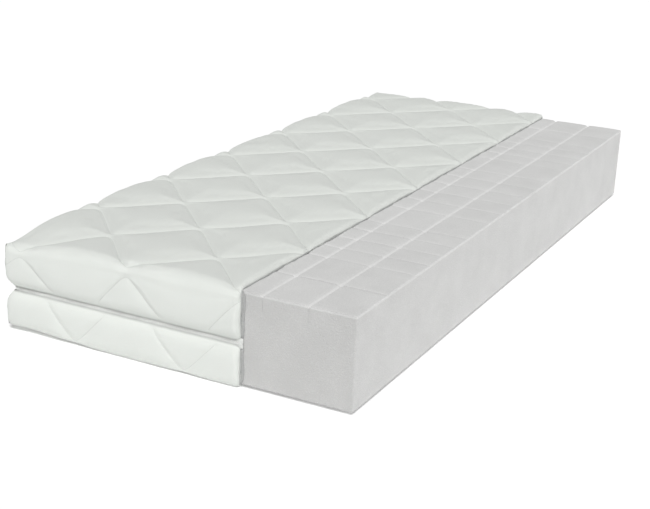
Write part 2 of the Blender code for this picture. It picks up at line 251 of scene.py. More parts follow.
    def from_stitch(self, u, v, lines):
        """Distance on the cloth from each point to the nearest stitch line."""
        xs = np.arange(COVER_CUT + 0.02, self.left - self.depth - 0.03, -0.004)
        found = np.full(u.shape, 1.0)
        for (n, row), (_, after) in zip(lines[:-1], lines[1:]):
            band = slice(row, after + 1)
            pu, pv = u[:, band].reshape(-1), v[:, band].reshape(-1)
            best = np.full(pu.shape, 1.0)
            for m in (n, n + 1):
                ys = self.line(m, xs)
                ax, ay, bx, by = xs[:-1], ys[:-1], xs[1:], ys[1:]
                dx, dy = bx - ax, by - ay
                near = np.clip(((COVER_CUT + 0.02 - pu) / 0.004).astype(int), 0, len(ax) - 1)
                for shift in range(-12, 13):
                    k = np.clip(near + shift, 0, len(ax) - 1)
                    t = ((pu - ax[k]) * dx[k] + (pv - ay[k]) * dy[k]) / (dx[k] ** 2 + dy[k] ** 2)
                    t = np.clip(t, 0, 1)
                    gap = np.hypot(pu - ax[k] - t * dx[k], pv - ay[k] - t * dy[k])
                    best = np.minimum(best, gap)
            found[:, band] = np.minimum(found[:, band], best.reshape(u.shape[0], -1))
        return found

    def height(self, u, v, gap, beyond):
        """How far the quilt stands out past its stitches."""
        on_side = smooth(beyond / 0.03)
        amount = self.puff + (self.side_puff - self.puff) * on_side
        rise = 1.0 - np.exp(-gap / STITCH_SLOPE)
        past_end = np.abs(v - CORE_MID_Y) - (self.head - self.foot) / 2
        at_corner = np.exp(-((u - self.left) / CALM_REACH) ** 2 - (past_end / CALM_REACH) ** 2)
        rise = rise + 0.8 * (0.7 - rise) * at_corner
        crown = 0.25 * smooth(gap / 0.07)
        lip = smooth((self.depth - beyond) / ZIP_FOLD)
        along_seam = np.where(u < self.left, np.minimum(v - self.foot, self.head - v), u - self.left)
        seam = np.where(beyond > 0, along_seam, 1.0)
        sewn = 1.0 - on_side * np.exp(-np.maximum(seam, 0) / 0.012)
        tall = amount * (0.8 * rise + crown) * lip * sewn
        arch = np.sin(math.pi * np.clip(beyond / self.depth, 0, 1)) ** 0.75
        tall = tall + self.bulge * arch
        edge = np.clip((TICKING_EDGE - u) / 0.013, 0, 1)
        drop = 0.0033 + (0.0045 * on_side)
        return -drop + (tall + drop) * np.sqrt(1 - (1 - edge) ** 2)


# Materials

def shader_of(name, color, roughness, **sockets):
    """A new material, its node tree and its shader, with constant values on the shader's sockets."""
    made = bpy.data.materials.new(name)
    made.use_nodes = True
    tree = made.node_tree
    shader = tree.nodes["Principled BSDF"]
    shader.inputs["Base Color"].default_value = (*color, 1.0)
    shader.inputs["Roughness"].default_value = roughness
    for socket, value in sockets.items():
        shader.inputs[socket.replace("_", " ")].default_value = value
    return made, tree, shader


def node(tree, kind, inputs=None, **settings):
    made = tree.nodes.new("ShaderNode" + kind)
    for key, value in settings.items():
        setattr(made, key, value)
    for key, value in (inputs or {}).items():
        if isinstance(value, bpy.types.NodeSocket):
            tree.links.new(value, made.inputs[key])
        else:
            made.inputs[key].default_value = value
    return made


def place_of(tree, panel=False):
    """Metres on the flat cloth, or metres in the object's own space."""
    if panel:
        return node(tree, "Attribute", attribute_name="panel").outputs["Vector"]
    return node(tree, "TexCoord").outputs["Object"]


def waves(tree, place, axis, pitch):
    """A ridge pattern from 0 to 1 that repeats every pitch metres along one axis."""
    part = node(tree, "SeparateXYZ", {0: place}).outputs[axis]
    turned = node(tree, "Math", {0: part, 1: 2 * math.pi / pitch}, operation="MULTIPLY").outputs[0]
    sine = node(tree, "Math", {0: turned}, operation="SINE").outputs[0]
    return node(tree, "Math", {0: sine, 1: 0.5, 2: 0.5}, operation="MULTIPLY_ADD").outputs[0]


def noise(tree, place, size, detail=2.0):
    """A soft random pattern whose blots are about size metres across."""
    return node(tree, "TexNoise", {"Vector": place, "Scale": 1 / size, "Detail": detail}).outputs["Fac"]


def tinted(tree, shader, pattern, low, high):
    """Colours the shader between two close tones by a pattern from 0 to 1."""
    ramp = node(tree, "ValToRGB", {"Fac": pattern})
    ramp.color_ramp.elements[0].position = 0.25
    ramp.color_ramp.elements[1].position = 0.75
    ramp.color_ramp.elements[0].color = (*low, 1.0)
    ramp.color_ramp.elements[1].color = (*high, 1.0)
    tree.links.new(ramp.outputs["Color"], shader.inputs["Base Color"])


def raised(tree, shader, layers):
    """Bumps the surface by several patterns, each given with its height in metres."""
    normal = None
    for pattern, height in layers:
        bump = node(tree, "Bump", {"Height": pattern, "Distance": height, "Strength": 1.0})
        if normal is not None:
            tree.links.new(normal, bump.inputs["Normal"])
        normal = bump.outputs["Normal"]
    tree.links.new(normal, shader.inputs["Normal"])


def product(tree, a, b):
    return node(tree, "Math", {0: a, 1: b}, operation="MULTIPLY").outputs[0]


def total(tree, a, b):
    return node(tree, "Math", {0: a, 1: b}, operation="ADD").outputs[0]


def ticking_material():
    made, tree, shader = shader_of("knit_ticking", (0.80, 0.82, 0.79), 0.8, Sheen_Weight=0.25)
    shader.inputs["Sheen Roughness"].default_value = 0.5
    place = place_of(tree, panel=True)
    wales = waves(tree, place, "X", 0.0016)
    courses = waves(tree, place, "Y", 0.0013)
    loops = product(tree, wales, courses)
    cloud = noise(tree, place, 0.11, 3.0)
    fuzz = noise(tree, place, 0.0009, 2.0)
    tone = total(tree, product(tree, cloud, loops), 0.25)
    tinted(tree, shader, tone, (0.72, 0.745, 0.71), (0.80, 0.822, 0.787))
    rough = node(tree, "MapRange", {"Value": loops, "To Min": 0.9, "To Max": 0.74})
    tree.links.new(rough.outputs[0], shader.inputs["Roughness"])
    raised(tree, shader, [(loops, 0.00035), (fuzz, 0.00022), (noise(tree, place, 0.016, 3.0), 0.0007)])
    return made


def foam_material(name):
    """Foam: painted shade makes the foot face darker, and a painted highlight lightens a band just below the
    top's rounded edges and cuts.
    """
    low, high = (0.50, 0.50, 0.493), (0.735, 0.735, 0.727)
    made, tree, shader = shader_of(name, high, 0.95, Sheen_Weight=0.1)
    place = place_of(tree)
    cells = node(tree, "TexVoronoi", {"Vector": place, "Scale": 1 / 0.0021}, feature="F1").outputs["Distance"]
    pores = node(tree, "TexVoronoi", {"Vector": place, "Scale": 1 / 0.0048}, feature="F1").outputs["Distance"]
    cloud = noise(tree, place, 0.09, 2.0)
    along = node(tree, "SeparateXYZ", {0: place}).outputs["Y"]
    # painted shade: the foot face is coloured darker to stand in for the shade it lies in
    foot_painted_shade = node(tree, "MapRange", {"Value": along, "From Min": FOAM_LOW.y + 0.003, "From Max": FOAM_LOW.y,
                                   "To Min": 0.36, "To Max": 0.06}).outputs[0]
    # painted highlight: from 2 to 8.5 mm below the top, the rounded edges, the notch walls and the top of the
    # sides are coloured lighter
    up = node(tree, "SeparateXYZ", {0: place}).outputs["Z"]
    lip = node(tree, "MapRange", {"Value": up, "From Min": FOAM_HIGH.z - 0.0020,
                                  "From Max": FOAM_HIGH.z - 0.0040, "To Max": 0.2}).outputs[0]
    below = node(tree, "MapRange", {"Value": up, "From Min": FOAM_HIGH.z - 0.0085,
                                    "From Max": FOAM_HIGH.z - 0.0060}).outputs[0]
    tone = total(tree, total(tree, product(tree, cloud, 0.22), product(tree, cells, 0.22)), foot_painted_shade)
    tone = total(tree, tone, product(tree, lip, below))
    tinted(tree, shader, tone, low, high)
    raised(tree, shader, [(cells, 0.0006), (pores, 0.0005)])
    return made


def wadding_material():
    made, tree, shader = shader_of("wadding", (0.86, 0.86, 0.85), 0.95, Sheen_Weight=0.3)
    place = place_of(tree)
    stretch = node(tree, "Mapping", {"Vector": place, "Scale": (1.0, 1.0, 5.0)}).outputs[0]
    fibres = noise(tree, stretch, 0.004, 8.0)
    tinted(tree, shader, fibres, (0.74, 0.74, 0.73), (0.90, 0.90, 0.89))
    raised(tree, shader, [(fibres, 0.003)])
    return made


def shaded_backing_material():
    """A thin non-woven lining, heat-bonded in rows of small dots. Its dark grey tone is painted shade,
    standing in for the shadow the quilt's cut edge casts on the strip that runs out past it.
    """
    made, tree, shader = shader_of("backing", (0.60, 0.61, 0.60), 0.85)
    place = place_of(tree, panel=True)
    dots = product(tree, waves(tree, place, "X", 0.0024), waves(tree, place, "Y", 0.0024))
    fibres = noise(tree, place, 0.003, 6.0)
    # painted shade: the lining is coloured dark grey for the shadow of the quilt's edge on it
    tinted(tree, shader, total(tree, product(tree, fibres, 0.9), product(tree, dots, 0.15)),
           (0.34, 0.345, 0.34), (0.47, 0.475, 0.47))
    raised(tree, shader, [(dots, 0.0004), (fibres, 0.0003)])
    return made


def tape_material():
    made, tree, shader = shader_of("zip_tape", (0.78, 0.79, 0.77), 0.8)
    place = place_of(tree, panel=True)
    weave = product(tree, waves(tree, place, "X", 0.0011), waves(tree, place, "Y", 0.0009))
    tinted(tree, shader, weave, (0.76, 0.77, 0.75), (0.86, 0.87, 0.85))
    raised(tree, shader, [(weave, 0.0003)])
    return made


def metal_material():
    made, tree, shader = shader_of("zip_nickel", (0.72, 0.72, 0.70), 0.3, Metallic=1.0)
    place = place_of(tree)
    wear = noise(tree, place, 0.0015, 5.0)
    tinted(tree, shader, wear, (0.60, 0.60, 0.585), (0.78, 0.78, 0.765))
    rough = node(tree, "MapRange", {"Value": wear, "To Min": 0.22, "To Max": 0.45})
    tree.links.new(rough.outputs[0], shader.inputs["Roughness"])
    raised(tree, shader, [(wear, 0.00004)])
    return made


def plain_material(name, color, roughness, low, high, blot, grain, height, **sockets):
    """A finish with soft blots of two close tones and a fine grain."""
    made, tree, shader = shader_of(name, color, roughness, **sockets)
    place = place_of(tree)
    tinted(tree, shader, noise(tree, place, blot, 3.0), low, high)
    raised(tree, shader, [(noise(tree, place, grain, 2.0), height)])
    return made


def label_material():
    made, tree, shader = shader_of("label_satin", (0.86, 0.86, 0.85), 0.4, Sheen_Weight=0.3)
    place = place_of(tree, panel=True)
    ribs = waves(tree, place, "Y", 0.0007)
    tinted(tree, shader, total(tree, product(tree, ribs, 0.5), product(tree, noise(tree, place, 0.01), 0.5)),
           (0.80, 0.80, 0.79), (0.90, 0.90, 0.89))
    raised(tree, shader, [(ribs, 0.0001)])
    return made


TICKING = ticking_material()
MEMORY_FOAM = foam_material("memory_foam")
BASE_FOAM = foam_material("base_foam")
WADDING = wadding_material()
SHADED_BACKING = shaded_backing_material()
ZIP_TAPE = tape_material()
NYLON = plain_material("zip_nylon", (0.86, 0.87, 0.85), 0.35, (0.86, 0.87, 0.85), (0.93, 0.94, 0.92),
                       blot=0.02, grain=0.0006, height=0.00005, Coat_Weight=0.15)
NICKEL = metal_material()
# painted shade: the thread is white, and its grey tone stands in for the shade in the stitch grooves
SHADED_THREAD = plain_material("stitch_thread", (0.74, 0.76, 0.73), 0.55, (0.46, 0.475, 0.455),
                        (0.56, 0.575, 0.555), blot=0.004, grain=0.0004, height=0.0001, Sheen_Weight=0.3)
LABEL = label_material()


# The cover

def panel_attribute(ob, u, v):
    """Stores each point's place on the flat cloth, which the cloth's weave follows."""
    flat = np.stack([u, v, np.zeros_like(u)], axis=-1).astype(np.float32)
    ob.data.attributes.new("panel", "FLOAT_VECTOR", "POINT").data.foreach_set("vector", flat.reshape(-1))


def grid_faces(nx, ny, skipped, flip):
    """Quads of a grid of nx columns of ny points, without the quads between two given columns."""
    i, j = np.meshgrid(np.arange(nx - 1), np.arange(ny - 1), indexing="ij")
    kept = i != skipped
    a = (i * ny + j)[kept]
    ring = [a, a + 1, a + ny + 1, a + ny]
    return np.stack(ring[::-1] if flip else ring, axis=1)


def spread_weights(kept, count, creases):
    """Weights that carry values at some of count places smoothly to all of them, but not past creases."""
    weights = np.zeros((count, len(kept)))
    for i, (start, stop) in enumerate(zip(kept[:-1], kept[1:])):
        for place in range(start, stop + 1):
            t = (place - start) / (stop - start)
            spread = np.array([-t + 2 * t**2 - t**3, 2 - 5 * t**2 + 3 * t**3,
                               t + 4 * t**2 - 3 * t**3, t**3 - t**2]) / 2
            row = np.zeros(len(kept))
            row[i] += spread[1]
            row[i + 1] += spread[2]
            if i == 0 or i in creases:
                row[i] += 2 * spread[0]
                row[i + 1] -= spread[0]
            else:
                row[i - 1] += spread[0]
            if i + 2 == len(kept) or i + 1 in creases:
                row[i + 1] += 2 * spread[3]
                row[i] -= spread[3]
            else:
                row[i + 2] += spread[3]
            weights[place] = row
    return weights


def thicken(ob, thickness):
    skin = ob.modifiers.new("thickness", "SOLIDIFY")
    skin.thickness = thickness
    skin.offset = -1.0
    skin.use_even_offset = False


class Quilt:
    """One half's quilted panel on its grid: outer points, outward directions, flat coordinates."""

    def __init__(self, half):
        self.half = half
        self.u, self.v, self.lines, self.across = half.grid()
        self.points, self.normals, self.beyond = half.wrap(self.u, self.v)
        self.gap = half.from_stitch(self.u, self.v, self.lines)
        self.tall = half.height(self.u, self.v, self.gap, self.beyond)
        self.outer = self.points + self.normals * self.tall[..., None]
        frayed = 0.0006 * np.sin(self.v * 47.0) + 0.0005 * np.sin(self.v * 118.0 + 0.8)
        self.outer[..., 0] += frayed * smooth(1 - (TICKING_EDGE - self.u) / 0.03)
        self.outer = self.outer + self.inflation()
        self.outer = squeezed(self.outer)
        if half.side < 0:
            self.outer[..., 2] = np.maximum(self.outer[..., 2], 0.0002)

    def faces(self):
        return grid_faces(*self.u.shape, self.across - 1, self.half.side < 0)

    def inflation(self):
        """How far each point moves when the filling pushes the ticking out between its stitches.

        Blender's cloth runs on every second column and every fourth row of the grid, with the
        stitches, the zip lips, the corner seams and the cut edge held.
        """
        half = self.half
        nu, nv = self.u.shape
        creases = [row for _, row in self.lines]
        columns = sorted({*range(0, self.across, 2), self.across - 1, *range(self.across, nu, 2), nu - 1})
        rows = sorted({*range(creases[0] % 4, nv, 4), *creases, 0, nv - 1})
        pick = np.ix_(columns, rows)
        start, gap, beyond = self.outer[pick], self.gap[pick], self.beyond[pick]
        u, v = self.u[pick], self.v[pick]
        faces = grid_faces(len(columns), len(rows), columns.index(self.across - 1), half.side < 0)
        flat, kept, index, first = welded(start.reshape(-1, 3), faces)
        mesh = bpy.data.meshes.new("inflating")
        mesh.from_pydata(flat.tolist(), [], kept)
        ob = bpy.data.objects.new("inflating", mesh)
        bpy.context.scene.collection.objects.link(ob)
        seam = (beyond > 0.004) & (np.abs(u - half.left) < 1e-6)
        seam |= (u < half.left) & ((v < half.foot + 1e-6) | (v > half.head - 1e-6))
        held = (gap < 0.0012) | (beyond > half.plain_depth - 1e-6) | (u > TICKING_EDGE - 0.006) | seam
        group = ob.vertex_groups.new(name="held")
        group.add(np.flatnonzero(held.reshape(-1)[first]).tolist(), 1.0, "REPLACE")
        cloth = ob.modifiers.new("cloth", "CLOTH")
        settings = cloth.settings
        settings.vertex_group_mass = "held"
        settings.quality = 5
        settings.mass = 0.02
        settings.tension_stiffness = 200
        settings.compression_stiffness = 60
        settings.shear_stiffness = 40
        settings.bending_stiffness = 0.3
        settings.air_damping = 2.0
        settings.use_pressure = True
        settings.uniform_pressure_force = 2.0
        settings.shrink_min = -0.004
        settings.effector_weights.gravity = 0.0
        cloth.collision_settings.use_collision = False
        scene = bpy.context.scene
        cloth.point_cache.frame_start = 1
        cloth.point_cache.frame_end = INFLATE_FRAMES
        for number in range(1, INFLATE_FRAMES + 1):
            scene.frame_set(number)
        shape = ob.evaluated_get(bpy.context.evaluated_depsgraph_get()).to_mesh()
        moved = np.empty(len(flat) * 3, dtype=np.float32)
        shape.vertices.foreach_get("co", moved)
        moved = moved.reshape(-1, 3) - flat
        bpy.data.objects.remove(ob)
        scene.frame_set(1)
        size = np.linalg.norm(moved, axis=1, keepdims=True)
        cap = np.where(beyond.reshape(-1)[first][:, None] > 0, SIDE_CAP, TOP_CAP)
        moved = moved * np.minimum(1.0, cap / np.maximum(size, 1e-9))
        moved = moved[index].reshape(len(columns), len(rows), 3)
        fine_u = spread_weights(columns, nu, {columns.index(self.across - 1), columns.index(self.across)})
        fine_v = spread_weights(rows, nv, {rows.index(row) for row in creases})
        moved = np.einsum("ac,bd,cdk->abk", fine_u, fine_v, moved, optimize=True)
        sunk = np.minimum((moved * self.normals).sum(-1, keepdims=True), 0)
        free = smooth((half.plain_depth - self.beyond) / 0.008)
        return (moved - sunk * self.normals) * free[..., None]


def ticking_piece(quilt, name, body, cad_node):
    flat, kept, index, first = welded(quilt.outer.reshape(-1, 3), quilt.faces())
    ob = mesh_piece(name, flat, kept, TICKING, body)
    panel_attribute(ob, quilt.u.reshape(-1)[first], quilt.v.reshape(-1)[first])
    thicken(ob, SKIN)
    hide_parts(cad_node)
    return ob


def shell(outer, inner, faces):
    """A closed body between two matching sets of points, walled along the open edges of its faces."""
    flat, kept, _, first = welded(outer, faces)
    inner = inner[first]
    count = len(flat)
    edges = {(ring[k - 1], ring[k]) for ring in kept for k in range(len(ring))}
    walls = [[b, a, a + count, b + count] for a, b in edges if (b, a) not in edges]
    back = [[p + count for p in ring[::-1]] for ring in kept]
    return np.concatenate([flat, inner]), kept + back + sorted(walls)


def wadding_piece(quilt, lining, name, body, cad_node):
    """The filling: a closed body between the ticking and the backing, on a coarser grid."""
    half = quilt.half
    pick = (slice(None, None, 2), slice(None, None, 2))
    u, v, beyond = quilt.u[pick], quilt.v[pick], quilt.beyond[pick]
    normals = quilt.normals[pick]
    outer = quilt.outer[pick] - normals * FILL_GAP
    share = lining.depth / half.depth
    inner_u = np.where(u < half.left, lining.left - (half.left - u) * share, np.maximum(u, lining.left))
    inner_v = np.clip(v, lining.foot, lining.head)
    inner_v = np.where(v < half.foot, lining.foot - (half.foot - v) * share, inner_v)
    inner_v = np.where(v > half.head, lining.head + (v - half.head) * share, inner_v)
    inner = squeezed(lining.wrap(inner_u, inner_v)[0])
    thick = ((outer - inner) * normals).sum(-1)
    inner = np.where((thick < FILL_LEAST)[..., None], outer - normals * FILL_LEAST, inner)
    faces = grid_faces(*u.shape, (quilt.across - 1) // 2, half.side < 0)
    stop = half.depth - 0.009
    faces = faces[(beyond.reshape(-1)[faces] < stop).all(axis=1)]
    points, kept = shell(outer.reshape(-1, 3), inner.reshape(-1, 3), faces)
    ob = mesh_piece(name, points, kept, WADDING, body)
    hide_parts(cad_node)


def lining_piece(half, name, body, cad_node):
    """The backing: a plain thin sheet under the wadding that runs out past the ticking at the cut."""
    def spread(start, stop, step):
        return np.linspace(start, stop, max(int(abs(stop - start) / step) + 1, 2))

    rim = 0.020
    wave_columns = spread(LINING_EDGE, LINING_EDGE - 0.02, 0.002)
    u = np.concatenate([
        wave_columns[:-1],
        spread(LINING_EDGE - 0.02, half.left + rim, 0.012)[:-1],
        spread(half.left + rim, half.left, 0.002),
        half.left - spread(0, rim, 0.002),
        half.left - spread(rim, half.depth, 0.008)[1:],
    ])
    past = np.concatenate([spread(half.depth, rim, 0.008)[:-1], spread(rim, 0, 0.002)])
    inside = spread(half.foot + rim, half.head - rim, 0.010)
    v = np.concatenate([
        half.foot - past, spread(half.foot, half.foot + rim, 0.002)[1:-1], inside,
        spread(half.head - rim, half.head, 0.002)[1:-1], half.head + past[::-1],
    ])
    uu, vv = np.meshgrid(u, v, indexing="ij")
    on_border = uu < half.left - 1e-9
    vv = np.where(on_border, np.clip(vv, half.foot, half.head), vv)
    ripple = 0.0009 * np.sin(vv * 41.0) + 0.0006 * np.sin(vv * 97.0 + 1.0) + 0.0004 * np.sin(vv * 211.0)
    loose = smooth((uu - LINING_EDGE + 0.02) / 0.02)
    edge = smooth((half.foot + 0.004 - vv) / 0.02) + smooth((vv - half.head + 0.004) / 0.02)
    tucked = (LINING_EDGE - TICKING_EDGE - 0.0012) * (1 - edge)
    points, normals, beyond = half.wrap(uu + (ripple - tucked) * loose, vv)
    curl = 0.0008 * loose * (0.5 + 0.5 * np.sin(vv * 63.0 + 2.0))
    points = squeezed(points + normals * curl[..., None])
    faces = grid_faces(len(u), len(v), -1, half.side < 0)
    flat, kept, _, first = welded(points.reshape(-1, 3), faces)
    ob = mesh_piece(name, flat, kept, SHADED_BACKING, body)
    panel_attribute(ob, uu.reshape(-1)[first], vv.reshape(-1)[first])
    thicken(ob, SKIN)
    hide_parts(cad_node)


def reach_along(path):
    """Distance along a path from its start to each of its points."""
    steps = np.linalg.norm(np.diff(path, axis=0), axis=1)
    return np.concatenate([[0], np.cumsum(steps)])


def read_at(at, reach, values):
    """Values given along a path, read at other distances."""
    return np.stack([np.interp(at, reach, column) for column in values.T], axis=1)


def unit(vectors):
    return vectors / np.linalg.norm(vectors, axis=1, keepdims=True)


def beads(name, template, faces, centres, along, out, material, body):
    """Many copies of one small shape: its X follows along, its Y follows out, its Z completes them."""
    across = np.cross(along, out)
    axes = np.stack([along, out, across], axis=1)
    points = centres[:, None, :] + np.einsum("kc,nci->nki", template, axes)
    count = len(template)
    offsets = (np.arange(len(centres)) * count)[:, None]
    every = []
    for ring in faces:
        every += (np.asarray(ring)[None, :] + offsets).tolist()
    return mesh_piece(name, points.reshape(-1, 3), every, material, body)


def spindle(stations, sides):
    """A closed low shape along X: rings of a given place, half width and half height, then caps."""
    angles = 2 * math.pi * (np.arange(sides) + 0.5) / sides
    rings = [[(x, h * math.sin(a), w * math.cos(a)) for a in angles] for x, w, h in stations]
    points = np.array([p for ring in rings for p in ring])
    faces = []
    for r in range(len(stations) - 1):
        for k in range(sides):
            a, b = r * sides + k, r * sides + (k + 1) % sides
            faces.append((a, a + sides, b + sides, b))
    faces.append(tuple(range(sides)))
    faces.append(tuple(range(len(stations) * sides - 1, (len(stations) - 1) * sides - 1, -1)))
    return points, faces


def stitching(quilt, name, body):
    """Thread stitches lying along every stitch line of one half."""
    pitch, length = 0.0046, 0.0036
    centres, along, out = [], [], []
    low = quilt.half.foot - quilt.half.plain_depth + 1e-6
    high = quilt.half.head + quilt.half.plain_depth - 1e-6
    for _, row in quilt.lines:
        v = quilt.v[:, row]
        inside = (v > low) & (v < high) & (quilt.u[:, row] > quilt.half.left - quilt.half.plain_depth)
        on_border = quilt.u[:, row] < quilt.half.left
        inside &= ~on_border | ((v > quilt.half.foot + 1e-6) & (v < quilt.half.head - 1e-6))
        inside[quilt.across] = False
        turns = np.flatnonzero(np.diff(np.concatenate([[False], inside, [False]]).astype(int)))
        for start, stop in turns.reshape(-1, 2):
            if stop - start <= 3:
                continue
            run = quilt.outer[start:stop, row]
            reach = reach_along(run)
            at = np.arange(pitch, reach[-1] - pitch, pitch)
            spot = read_at(at, reach, run)
            heading = unit(read_at(at + 0.001, reach, run) - spot)
            rise = read_at(at, reach, quilt.normals[start:stop, row])
            rise = unit(rise - heading * (heading * rise).sum(1, keepdims=True))
            centres.append(spot + rise * 0.0002)
            along.append(heading)
            out.append(rise)
    half = length / 2
    template, faces = spindle(((-half, 0.0001, 0.0001), (-half * 0.6, 0.0004, 0.00035),
                               (half * 0.6, 0.0004, 0.00035), (half, 0.0001, 0.0001)), 5)
    return beads(name, template, faces, np.concatenate(centres), np.concatenate(along),
                 np.concatenate(out), SHADED_THREAD, body)


BORDER = {"walls": 0.0095, "corner": 0.009, "lip": 0.0045, "side_puff": 0.0050, "pinch": 0.0052, "ear": 0.004}
UPPER = Half(1, FOAM_HIGH.z + 0.006, LIP_HIGH, rim=0.019, tip_y=-0.710, puff=0.0104, bulge=0.0065, **BORDER)
LOWER = Half(-1, FOAM_LOW.z - 0.005, LIP_LOW, rim=0.009, tip_y=-0.8505, puff=0.0024, bulge=0.0050, **BORDER)
TAPE_REACH = 0.0123
SHARP = 1e-5


# The foam

def foam_plan(x, y):
    """Moves places near the block's upright corners so that those corners are rounded."""
    for edge_x, turn, radius in ((FOAM_LOW.x, -1, CORNER_RADIUS), (FOAM_HIGH.x, 1, BARE_RADIUS)):
        for edge_y, end in ((FOAM_LOW.y, -1), (FOAM_HIGH.y, 1)):
            qx = np.maximum((x - (edge_x - turn * radius)) * turn, 0)
            qy = np.maximum((y - (edge_y - end * radius)) * end, 0)
            long = np.maximum(np.hypot(qx, qy), 1e-12)
            pull = np.where((qx > 0) & (qy > 0), np.maximum(qx, qy) / long, 1.0)
            x = np.where((qx > 0) & (qy > 0), edge_x + turn * (qx * pull - radius), x)
            y = np.where((qx > 0) & (qy > 0), edge_y + end * (qy * pull - radius), y)
    return x, y


STRIPS = 8
CROSS_CUTS = (0.047, 0.141, 0.235, 0.386, 0.4645, 0.543, 0.6215, 0.700, 0.850)
SLIT_DEPTH = 0.040
NOTCH_LEFT, NOTCH_RIGHT, NOTCH_DEPTH = 0.0085, 0.0040, 0.0055


def between(start, stop, near, far):
    """Places between two cuts, crowded towards both, from near apart to about far apart."""
    half = (stop - start) / 2
    steps, gap = [], near
    while sum(steps) + gap < half:
        steps.append(gap)
        gap = min(gap * 1.45, far)
    left = start + np.concatenate([[0], np.cumsum(steps)])
    return np.concatenate([left, [start + half], (start + stop - left)[::-1]])


def foam_layer():
    """The memory foam: a grid of blocks parted by long slits and cross cuts, on straight walls."""
    width = (FOAM_HIGH.x - FOAM_LOW.x) / STRIPS
    slits = [FOAM_LOW.x + width * k for k in range(1, STRIPS)]
    cuts = sorted([CORE_MID_Y - c for c in CROSS_CUTS] + [CORE_MID_Y + c for c in CROSS_CUTS])
    slit_half, cut_half, wall = 0.00025, 0.0002, 0.00003

    def places(low, high, marks, half, near, far):
        ends = [low] + [m for m in marks for _ in (0, 1)] + [high]
        found = []
        for k in range(0, len(ends), 2):
            start = ends[k] + (half if k else 0)
            stop = ends[k + 1] - (half if k + 2 < len(ends) else 0)
            found.append(between(start, stop, near, far))
            if k + 2 < len(ends):
                found.append(np.array([stop + wall, ends[k + 1] + half - wall]))
        return np.concatenate(found)

    xs = places(FOAM_LOW.x, FOAM_HIGH.x, slits, slit_half, 0.0006, 0.016)
    ys = places(FOAM_LOW.y, FOAM_HIGH.y, cuts, cut_half, 0.0005, 0.012)
    x, y = np.meshgrid(xs, ys, indexing="ij")
    nearest = np.array(slits)[np.argmin([np.abs(x - s) for s in slits], axis=0)]
    from_slit = np.abs(x - nearest)
    notch_half = np.where(x < nearest, NOTCH_LEFT, NOTCH_RIGHT)
    from_cut = np.min([np.abs(y - c) for c in cuts], axis=0)
    strip = np.clip(((x - FOAM_LOW.x) / width).astype(int), 0, STRIPS - 1)
    row = np.searchsorted(cuts, y)
    lift = rng.uniform(-0.0004, 0.0004, (STRIPS, len(cuts) + 1))[strip, row]
    slope = 1 - np.clip(from_slit / notch_half, 0, 1)
    notch = NOTCH_DEPTH * slope ** 1.15
    open_cut = np.where(strip == STRIPS - 3, 0.0018, 0.0010)
    soft = open_cut * np.exp(-from_cut / 0.0024) + 0.0007 * np.exp(-from_cut / 0.012)
    middle = (x - FOAM_LOW.x) / width - strip - 0.5
    crown = 0.0012 * (2 * np.abs(middle)) ** 2.5
    z = lift * (1 - slope) - notch - soft - crown
    inside_x = np.minimum(x - FOAM_LOW.x, FOAM_HIGH.x - x)
    inside_y = np.minimum(y - FOAM_LOW.y, FOAM_HIGH.y - y)
    covered = smooth((COVER_CUT - x) / 0.02)
    radius = 0.0028 + 0.0045 * covered
    for inside in (inside_x, inside_y):
        e = np.clip(1 - inside / radius, 0, 1)
        z = z - radius * (1 - np.sqrt(1 - e * e)) * (1 - 0.4 * slope)
    z = np.where(from_slit < slit_half - wall / 2, -SLIT_DEPTH, z)
    depth = np.where(strip < STRIPS - 2, SLIT_DEPTH, -z + 0.002)
    z = np.where(from_cut < cut_half - wall / 2, -depth, z)
    px, py = foam_plan(x, y)
    top = squeezed(np.stack([px, py, FOAM_HIGH.z + z], axis=-1))
    nx, ny = x.shape
    faces = grid_faces(nx, ny, -1, True)
    ring = [(i, 0) for i in range(nx)] + [(nx - 1, j) for j in range(1, ny)]
    ring += [(i, ny - 1) for i in range(nx - 2, -1, -1)] + [(0, j) for j in range(ny - 2, 0, -1)]
    rim = np.array([i * ny + j for i, j in ring])
    foot = top.reshape(-1, 3)[rim].copy()
    foot[:, 2] = LAYER_LOW
    foot = squeezed(foot)
    count = nx * ny
    low = count + np.arange(len(rim))
    wall_faces = np.stack([rim, low, np.roll(low, -1), np.roll(rim, -1)], axis=1)
    every = faces.tolist() + wall_faces.tolist() + [low[::-1].tolist()]
    points = np.concatenate([top.reshape(-1, 3), foot])
    return mesh_piece("memory_foam_block", points, every, MEMORY_FOAM, "foam_core", False)


